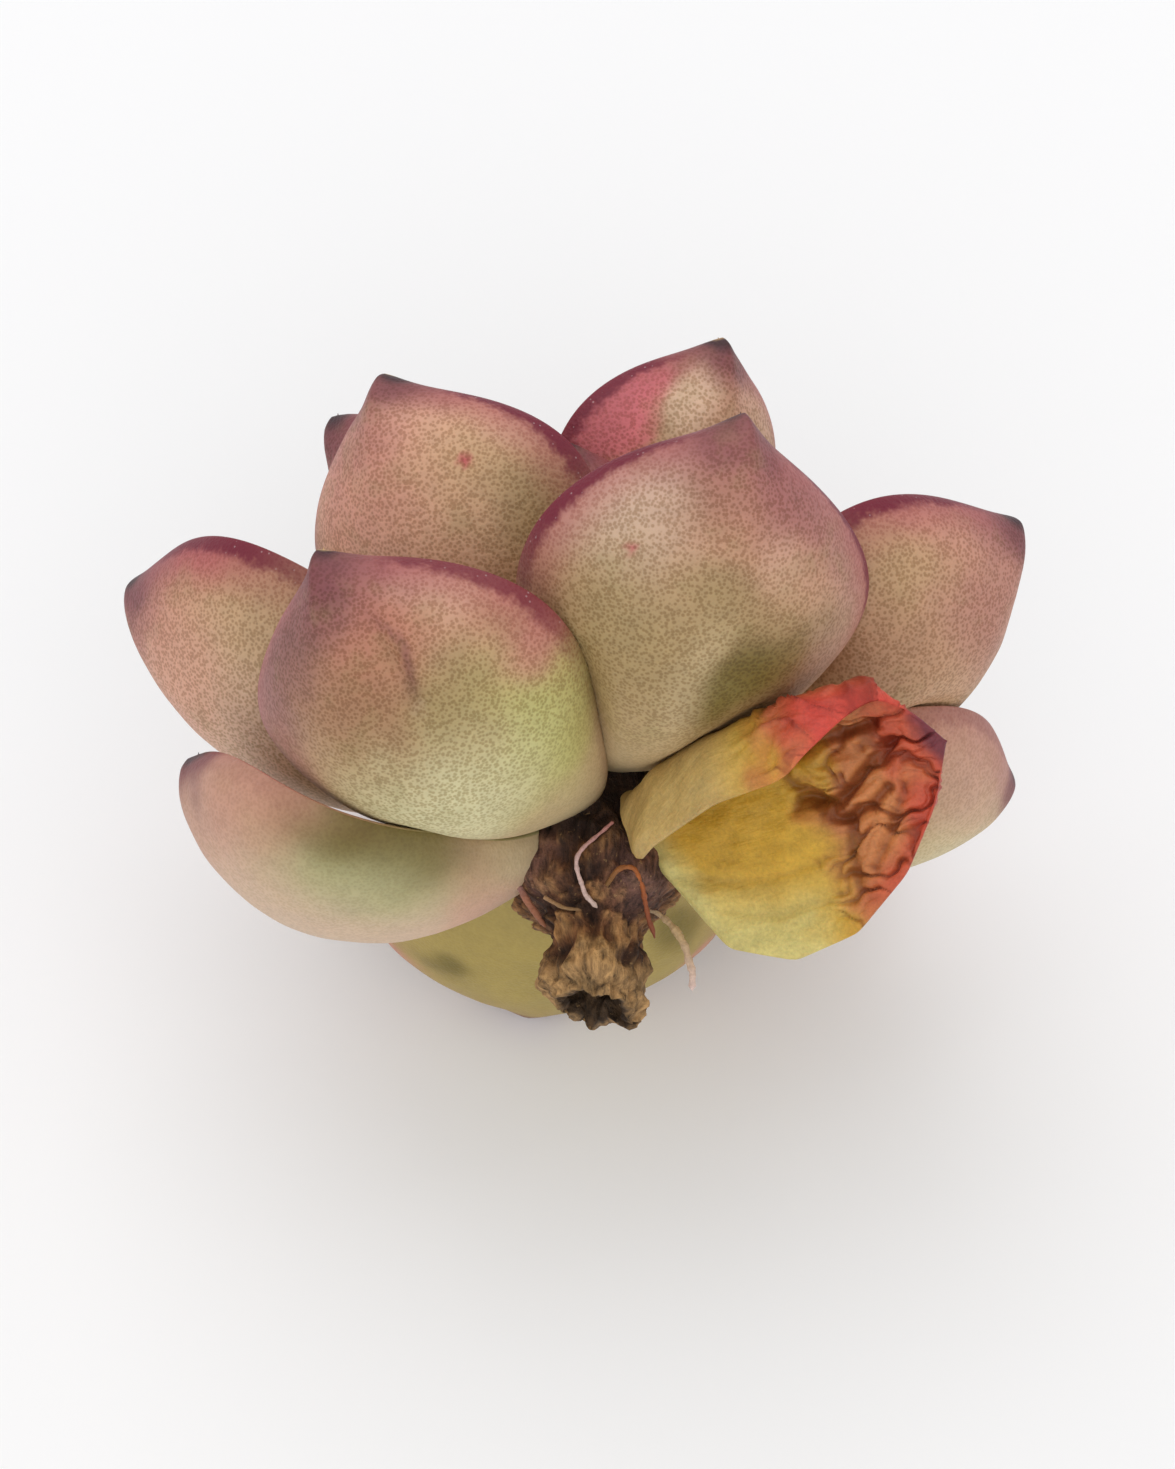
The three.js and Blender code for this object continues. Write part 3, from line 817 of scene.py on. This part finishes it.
# The sheet's points, how far each lies from the midline over the leaf's face, and the way the face looks.
# The face bends forward into a hood towards its upper margin, which has curled over as a lip.
def bendSheet(leaf, t, s):
    half = leaf["width"] / 2
    up, low = marginAt(withered["upperMargin"], t) * half, marginAt(withered["lowerMargin"], t) * half
    lip = withered["lip"] * smooth(t / 0.15) * smooth((0.95 - t) / 0.3)
    wide = np.where(s[None, :] < 0, s[None, :] * low[:, None], s[None, :] * (up + lip)[:, None])
    hood = withered["hood"] * smooth(wide / np.maximum(0.85 * up, mm)[:, None])
    hood = hood * (smooth(t / 0.1) * (1 - 0.55 * smooth((t - 0.6) / 0.35)))[:, None]
    intoLip = (wide - (up - 0.35 * lip)[:, None]) / np.maximum(0.8 * lip, 0.1 * mm)[:, None]
    curl = withered["lipCurl"] * smooth(intoLip)
    brim = withered["brim"] * smooth(-wide / low[:, None] * 1.6 - 0.6)
    slope = np.radians(hood + curl * (lip > 0.2 * mm)[:, None] - brim)
    step = np.diff(wide, axis=1, prepend=wide[:, :1])
    y, z = np.cumsum(np.cos(slope) * step, axis=1), np.cumsum(np.sin(slope) * step, axis=1)
    middle = np.array([[np.interp(0, wide[i], v[i]) for v in (y, z)] for i in range(len(t))])
    y, z = y - middle[:, :1], z - middle[:, 1:]
    forward = -inwardOf(leaf, t)
    sheet = midline(leaf, t)[:, None, :] + forward[:, None, :] * z[..., None]
    sheet[..., 1] -= y + (withered["heel"] * (1 - t) ** 2)[:, None]
    return sheet, wide, forward


def makeWitheredLeaf(leaf):
    rings, columns = withered["rings"], withered["columns"]
    t = np.sin(np.arange(rings) / rings * math.pi / 2)
    s = np.linspace(-1, 1, columns)
    sheet, wide, forward = bendSheet(leaf, t, s)
    flat = np.stack([np.broadcast_to((t * leaf["length"])[:, None], wide.shape), wide], 2).reshape(-1, 2) / mm
    depth = crumple(flat)
    normal = unit(np.cross(np.gradient(sheet, axis=0), np.gradient(sheet, axis=1)))
    normal *= np.sign((normal * forward[:, None, :])[:, : columns // 2].sum())
    rough = noiseAt(np.c_[flat, np.zeros(len(flat))], 6.0, 3)
    inside = smooth((1 - np.abs(s)) / 0.12)[None, :] * smooth((1 - t) / 0.06)[:, None]
    sheet += normal * ((rough * 0.5 - depth).reshape(rings, columns) * inside * mm)[..., None]
    rimTaper = np.sqrt(np.maximum(0.05, 1 - s ** 6))[None, :, None] * np.sqrt(1 - 0.9 * t ** 4)[:, None, None]
    thick = withered["thickness"] * (1 + 0.8 * smooth((0.3 - t) / 0.3))[:, None, None] * rimTaper
    face, back = sheet + normal * thick / 2, sheet - normal * thick / 2
    ring = np.concatenate([face[:, ::-1], back], 1)
    ends = toWorld(standLeaf(leaf, np.stack([sheet[0].mean(0), sheet[-1].mean(0) + (0.3 * mm, 0, 0)])))
    piece = makeSkin("withered_leaf_skin", toWorld(standLeaf(leaf, ring)), ends[0], ends[1])
    colour, fold = paintWithered(leaf, t, flat, depth)
    veins = np.c_[flat[:, 0] * 0.25, flat[:, 1], np.zeros(len(flat))] * mm
    for name, values in (("paint", colour), ("fold", fold), ("flat", veins)):
        values = values.reshape(rings, columns, -1)
        values = np.concatenate([values[:, ::-1], values], 1).reshape(rings * columns * 2, -1)
        addValues(piece, name, withEnds(values[:, 0] if name == "fold" else values))
    place(piece, leaf["name"], "withered_skin", makeWitheredSkin())
    return treeOf(piece)


def paintWithered(leaf, t, flat, depth):
    along, across = flat[:, 0] / flat[:, 0].max(), flat[:, 1]
    half = leaf["width"] / 2 / mm
    colour, layOn = baseCoat(withered, "gold", len(flat))
    drift = noiseAt(np.c_[flat, np.ones(len(flat))], 5.0, 3) * 0.12
    low = np.interp(along, t, marginAt(withered["lowerMargin"], t)) * half
    up = np.interp(along, t, marginAt(withered["upperMargin"], t)) * half
    toLow, toUp = low + across, up - across
    layOn("beige", smooth((0.22 - along + drift) / 0.15))
    layOn("cream", 0.9 * smooth((8 - toLow) / 7) * smooth((0.66 - along + drift) / 0.2))
    layOn("orange", smooth((along - 0.55 + drift) / 0.14))
    layOn("red", 0.8 * smooth((along - 0.78 + drift) / 0.15))
    layOn("red", 0.8 * smooth((3.5 - toLow) / 3) * smooth((along - 0.6 + drift) / 0.2))
    layOn("shade", 0.85 * np.exp(-((along - 0.42) / 0.17) ** 2 - ((toUp - 3.4 + drift * 4) / 1.6) ** 2))
    layOn("beige", 0.95 * smooth((1.8 - toUp) / 1.5) * smooth((0.62 - along) / 0.2))
    layOn("scarlet", 0.9 * smooth((1.5 - toUp) / 3) * smooth((along - 0.56 + drift) / 0.24))
    layOn("purple", 0.9 * smooth((along - 0.93 + drift * 0.3) / 0.05))
    # the folds' depth, which the skin turns into painted shade
    return colour, np.clip(depth / 0.8, 0, 1)


# The bare stem, with old leaf scars and a hollow broken end.
stem = {
    "rings": 190,
    "sides": 168,
    "hollowRings": 26,
    "hollowDepth": 4.5 * mm,
    "hollowShift": (0.5 * mm, -0.4 * mm, 0),
    # shares of the bare length, with the radius there in millimetres
    "outline": [(0, 6.0), (0.1, 6.6), (0.34, 6.3), (0.62, 3.8), (0.86, 4.4), (1, 3.4)],
    # lumps of old leaf scars: turn, height and size in millimetres, and how far they stand out
    "scars": [(38, -5.6, 3.2, 1.5), (-52, -4.4, 2.6, 1.0), (-30, -6.8, 2.0, 0.6), (5, -3.6, 2.4, 0.8),
              (80, -4.5, 2.6, 0.9), (130, -5.0, 2.8, 1.0), (180, -4.2, 2.5, 0.9), (-120, -5.2, 2.7, 1.0),
              (62, -11.6, 1.5, 0.7)],
    "smoothScars": 2,  # the first scars are smooth
    # dark: the bark's dark threads, and also painted shade under the leaves and in the hollow
    "dark": (0.022, 0.010, 0.006),
    "brown": (0.15, 0.060, 0.022),
    "tan": (0.33, 0.165, 0.058),
    "straw": (0.50, 0.31, 0.13),
    "grape": (0.17, 0.085, 0.07),
    "tender": (0.36, 0.30, 0.12),
}


def bareRadius(height):
    share = np.clip(-height / plant["stemLength"], 0, 1)
    places, radii = zip(*stem["outline"])
    index = np.clip(np.searchsorted(places, share), 1, len(places) - 1)
    places, radii = np.array(places), np.array(radii) * mm
    inside = smooth((share - places[index - 1]) / (places[index] - places[index - 1]))
    return lerp(radii[index - 1], radii[index], inside)


# the stem's radius at any height
def reachOf(height):
    height = np.asarray(height, float)
    neck = stemRadius(height) + 1.3 * mm * (1 - smooth(height / (3 * mm)))
    return np.where(height >= 0, neck, bareRadius(height))


def makeBark():
    material, wire, where = startMaterial("woodyStem")
    along = attribute(wire, "fibres", "Vector")
    paint = attribute(wire, "paint", "Color")
    threads = grain(wire, along, 0.5 * mm, 4.0, 0.65)
    crumbs = grain(wire, where, 0.5 * mm, 3.0, 0.7)
    cloud = grain(wire, where, 2.2 * mm, 3.0, 0.6)
    tone = 0.55 + threads.between(0.35, 0.7) * 0.9 + (crumbs - 0.5) * 0.7 + (cloud - 0.5) * 0.5
    lit = brightened(paint, tone)
    colour = mixColour(crumbs.between(0.62, 0.72) * 0.45, lit, rgb(*stem["straw"]))
    colour = mixColour(threads.between(0.42, 0.3) * 0.7, colour, rgb(*stem["dark"]))
    height = threads * 0.5 + crumbs * 0.3
    finishMaterial(wire, colour, 0.78 + (cloud - 0.5) * 0.3, height, 0.9, {"IOR": 1.4})
    return material


# a ring of the given radii round the stem
def ringAt(turn, radius, z):
    return np.stack([radius * np.sin(turn), -radius * np.cos(turn), z], 1)


def makeStem():
    rings, sides = stem["rings"], stem["sides"]
    turn = np.arange(sides) / sides * 2 * math.pi
    top, foot = plant["crownHeight"], -plant["stemLength"]
    ragged = [noise.fractal(Vector((math.cos(a) * 1.6, math.sin(a) * 1.6, 7.1)), 1, 2, 4) for a in turn]
    lipHeight = (np.array(ragged) * 0.8 + 0.8 * np.cos(turn + 0.9)) * mm
    points = []
    for height in np.linspace(top, foot, rings):
        nearLip = smooth((-height / plant["stemLength"] - 0.72) / 0.28)
        radius = reachOf(height) * np.ones(sides)
        for scarTurn, scarHeight, size, out in stem["scars"]:
            gap = (np.degrees(turn) - scarTurn + 180) % 360 - 180
            away = np.hypot(np.radians(gap) * radius / mm, height / mm - scarHeight) / size
            radius = radius + out * mm * np.exp(-(away ** 2) * 1.4)
        points.append(ringAt(turn, radius, height + lipHeight * nearLip))
    for share in np.linspace(0, 1, stem["hollowRings"])[1:]:
        deep = foot + lipHeight * (1 - share) + stem["hollowDepth"] * share
        radius = reachOf(foot) * (1 - 0.16 * math.sin(share * math.pi)) * (1 - share ** 4 * 0.75)
        radius = radius * (0.86 - 0.1 * share)
        points.append(ringAt(turn, radius, deep) + np.array(stem["hollowShift"]) * share)
    points = np.array(points)
    isHollow = np.repeat(np.arange(len(points)) >= rings, sides)
    flat = points.reshape(-1, 3)
    stretched = flat * (1, 1, 0.22)
    ridges = noiseAt(stretched, 0.9 * mm, 3)
    lumps = noiseAt(flat + 0.05, 2.6 * mm, 3)
    outward = unit(flat * (1, 1, 0) + 1e-9)
    isBark = smooth((2 * mm - flat[:, 2]) / (3 * mm))
    smoothScar = np.zeros(len(flat))
    for scarTurn, scarHeight, size, _ in stem["scars"][:stem["smoothScars"]]:
        a = math.radians(scarTurn)
        middle = np.array([math.sin(a) * 6.5, -math.cos(a) * 6.5, scarHeight]) * mm
        away = np.linalg.norm(flat - middle, axis=1) / (size * mm)
        smoothScar = np.maximum(smoothScar, np.exp(-away ** 2))
    rough = isBark * (1 - 0.8 * smoothScar)
    flat += outward * ((ridges * 0.85 + lumps * 0.8) * rough * mm)[:, None]
    points = flat.reshape(points.shape)
    start = np.array([0, 0, top + plant["tipRadius"]])
    end = points[-1].mean(0) + (0, 0, 0.2 * mm)
    piece = makeSkin("stem_bark", toWorld(points)[:, ::-1], toWorld(start), toWorld(end))
    colour, layOn = baseCoat(stem, "brown", len(flat))
    height = flat[:, 2] / mm
    layOn("tan", smooth((lumps + ridges) * 1.3 + 0.25))
    layOn("dark", smooth(-lumps * 1.5 + 0.15) * 0.8)
    # painted shade on the top of the stem, under the crown of leaves
    layOn("dark", smooth((height + 4.2) / 2.5) * 0.9)
    layOn("straw", smooth((-10.5 - height + lumps * 3) / 3) * 0.55)
    layOn("grape", smoothScar * 0.95)
    layOn("tender", smooth((height - 8) / 6))
    # painted shade inside the hollow broken end
    layOn("dark", isHollow * 0.85)
    order = np.arange(len(flat)).reshape(points.shape[:2])[:, ::-1].ravel()
    addValues(piece, "paint", withEnds(colour[order]))
    addValues(piece, "fibres", withEnds(stretched[order]))
    place(piece, "stem", "woody_stem", makeBark())


# The dead root fibres. route: turn, height and stand-off from the stem in millimetres, as in the CAD.
# thick and colours: radius in millimetres and paint at the start, the middle and the end.
fibres = {
    "root_fibre_front": {
        "route": [(11, -1.9, 1.2), (-5, -3.8, 1.2), (-12, -5.3, 1.2), (-8, -7.5, 0.9), (2, -8.6, 0.8)],
        "thick": (0.14, 0.18, 0.2), "colours": ((0.48, 0.20, 0.18), (0.62, 0.42, 0.38), (0.60, 0.45, 0.38)),
    },
    "root_fibre_long": {
        "route": [(54, -8.2, 0.8), (56, -8.8, 2.4), (54, -10.2, 4.2), (57, -12.1, 4.8),
                  (59, -14, 5), (62, -15.5, 5.6)],
        "thick": (0.16, 0.34, 0.28), "colours": ((0.55, 0.40, 0.25), (0.50, 0.34, 0.17), (0.68, 0.50, 0.44)),
    },
    "root_fibre_loop": {
        "route": [(8, -7, 0.8), (14, -6, 1.3), (24, -5.8, 1.4), (34, -6.8, 1.2), (44, -8, 1.2),
                  (58, -10.6, 2)],
        "thick": (0.2, 0.2, 0.22), "colours": ((0.20, 0.10, 0.03), (0.42, 0.12, 0.03), (0.22, 0.06, 0.03)),
    },
    "root_fibre_short": {
        "route": [(-44, -7.4, 0.8), (-30, -8.4, 1.1), (-14, -8.8, 0.8)],
        "thick": (0.2, 0.16, 0.12), "colours": ((0.42, 0.24, 0.12), (0.30, 0.17, 0.07), (0.22, 0.12, 0.05)),
    },
    "root_fibre_side": {
        "route": [(-66, -6, 0.8), (-64, -7.4, 1.1), (-60, -9.4, 0.9)],
        "thick": (0.24, 0.34, 0.2), "colours": ((0.36, 0.20, 0.18), (0.40, 0.16, 0.09), (0.26, 0.10, 0.05)),
    },
}


fibreForm = {
    "sides": 14,
    "stepRings": 26,  # rings for each step of a route
    "wobble": 0.12 * mm,
    "wobbleSize": 1.4 * mm,
    "lumpSize": 0.5 * mm,
    "lumpShare": 0.35,
    "endRings": 6,  # rings that narrow to the end
    "endShare": 0.35,
}


# a smooth line through the points of a route
def throughPoints(route, count):
    route = np.array(route, float)
    padded = np.concatenate([[2 * route[0] - route[1]], route, [2 * route[-1] - route[-2]]])
    found = []
    for share in np.linspace(0, len(route) - 1 - 1e-6, count):
        i, f = int(share), share - int(share)
        a, b, c, d = padded[i:i + 4]
        square, cube = 2 * a - 5 * b + 4 * c - d, 3 * b - a - 3 * c + d
        found.append(0.5 * (2 * b + (c - a) * f + square * f ** 2 + cube * f ** 3))
    return np.array(found)


def makeTube(line, radii):
    along = unit(np.gradient(line, axis=0))
    side = unit(np.cross(along, unit(np.array([0.3, 0.2, 1.0]))))
    over = np.cross(along, side)
    angle = np.arange(radii.shape[1]) / radii.shape[1] * 2 * math.pi
    across = side[:, None, :] * np.cos(angle)[None, :, None] + over[:, None, :] * np.sin(angle)[None, :, None]
    start = line[0] - along[0] * radii[0].mean() * 0.5
    end = line[-1] + along[-1] * radii[-1].mean()
    return line[:, None, :] + radii[..., None] * across, start, end


def makeRootSkin():
    material, wire, where = startMaterial("dryRoot")
    paint = attribute(wire, "paint", "Color")
    crumbs = grain(wire, where, 0.3 * mm, 3.0, 0.7)
    lit = brightened(paint, 1.0 + (crumbs - 0.5) * 0.9)
    finishMaterial(wire, lit, 0.6 + (crumbs - 0.5) * 0.3, crumbs * 0.3, 0.6, {"IOR": 1.4})
    return material


def makeFibres():
    material = makeRootSkin()
    sides, endRings = fibreForm["sides"], fibreForm["endRings"]
    for number, (name, fibre) in enumerate(fibres.items()):
        turn, height, off = np.array(fibre["route"], float).T
        reach = reachOf(height * mm) + off * mm
        line = ringAt(np.radians(turn), reach, height * mm)
        count = fibreForm["stepRings"] * (len(line) - 1)
        line = throughPoints(line, count)
        places = [Vector(p / fibreForm["wobbleSize"]) + Vector((number, 0, 0)) for p in line]
        line += fibreForm["wobble"] * np.array([noise.noise_vector(place) for place in places])
        share = np.linspace(0, 1, count)
        radii = np.interp(share, (0, 0.5, 1), fibre["thick"]) * mm
        lumps = noiseAt(line, fibreForm["lumpSize"], 3)
        radii = radii[:, None] * (1 + fibreForm["lumpShare"] * lumps[:, None]) * np.ones(sides)
        radii[-endRings:] *= np.linspace(1, fibreForm["endShare"], endRings)[:, None]
        rings, start, end = makeTube(line, radii)
        piece = makeSkin(name + "_skin", toWorld(rings), toWorld(start), toWorld(end))
        colour = np.stack([np.interp(share, (0, 0.5, 1), channel) for channel in zip(*fibre["colours"])], 1)
        addValues(piece, "paint", withEnds(np.repeat(colour, sides, axis=0)))
        place(piece, name, "dry_root", material)


# White floor, soft light and the camera.
studio = {
    "floor": (0.935, 0.935, 0.935),
    "floorSize": 3.0,
    "world": (1.0, 1.0, 1.01),
    "worldStrength": 0.81,
    "lights": [  # place, size, watts
        ((-0.12, 0.40, 0.85), 0.7, 2.0),
        ((0.1, -0.6, 0.6), 0.7, 0.9),
    ],
    "lightAim": (0, 0, 0.03),
    "distance": 0.35,
    "elevation": 61.0,
    "lens": 100.35,
    "aimUp": 8.16 * mm,
    "aimLeft": 0.64 * mm,
}


def makeStage():
    size = studio["floorSize"]
    corners = np.array([(-size, -size, 0), (size, -size, 0), (size, size, 0), (-size, size, 0)])
    floor = makePiece("pale_floor", corners, [[0, 1, 2, 3]])
    material, wire, where = startMaterial("paleFloor")
    fine = grain(wire, where, 2 * mm, 2.0, 0.5)
    finishMaterial(wire, rgb(*studio["floor"]), 0.7 + fine * 0.05, fine * 0.01, 0.1, {"IOR": 1.3})
    floor.data.materials.append(material)
    world = bpy.data.worlds.new("studio")
    world.use_nodes = True
    background = world.node_tree.nodes["Background"]
    background.inputs["Color"].default_value = rgb(*studio["world"])
    background.inputs["Strength"].default_value = studio["worldStrength"]
    bpy.context.scene.world = world
    bpy.context.scene.view_settings.view_transform = "Standard"
    for number, (spot, breadth, watts) in enumerate(studio["lights"]):
        data = bpy.data.lights.new(f"softbox{number}", "AREA")
        data.size = breadth
        data.energy = watts
        lamp = bpy.data.objects.new(f"softbox{number}", data)
        lamp.location = Vector(spot)
        lamp.rotation_euler = (Vector(studio["lightAim"]) - lamp.location).to_track_quat("-Z", "Y").to_euler()
        bpy.context.scene.collection.objects.link(lamp)


def makeCamera():
    e = math.radians(studio["elevation"])
    back = Vector((0, -math.cos(e), math.sin(e)))
    up = Vector((0, math.sin(e), math.cos(e)))
    aim = Vector(origin) + up * studio["aimUp"] - Vector((1, 0, 0)) * studio["aimLeft"]
    data = bpy.data.cameras.new("camera")
    data.lens = studio["lens"]
    data.sensor_width = 36
    camera = bpy.data.objects.new("camera", data)
    camera.location = aim + back * studio["distance"]
    camera.rotation_euler = (-back).to_track_quat("-Z", "Y").to_euler()
    bpy.context.scene.collection.objects.link(camera)
    bpy.context.scene.camera = camera


makeCamera()
makeStage()
print("stage ready")
makeLeaves()
print("leaves grown")
makeStem()
makeFibres()
print("stem and roots grown")
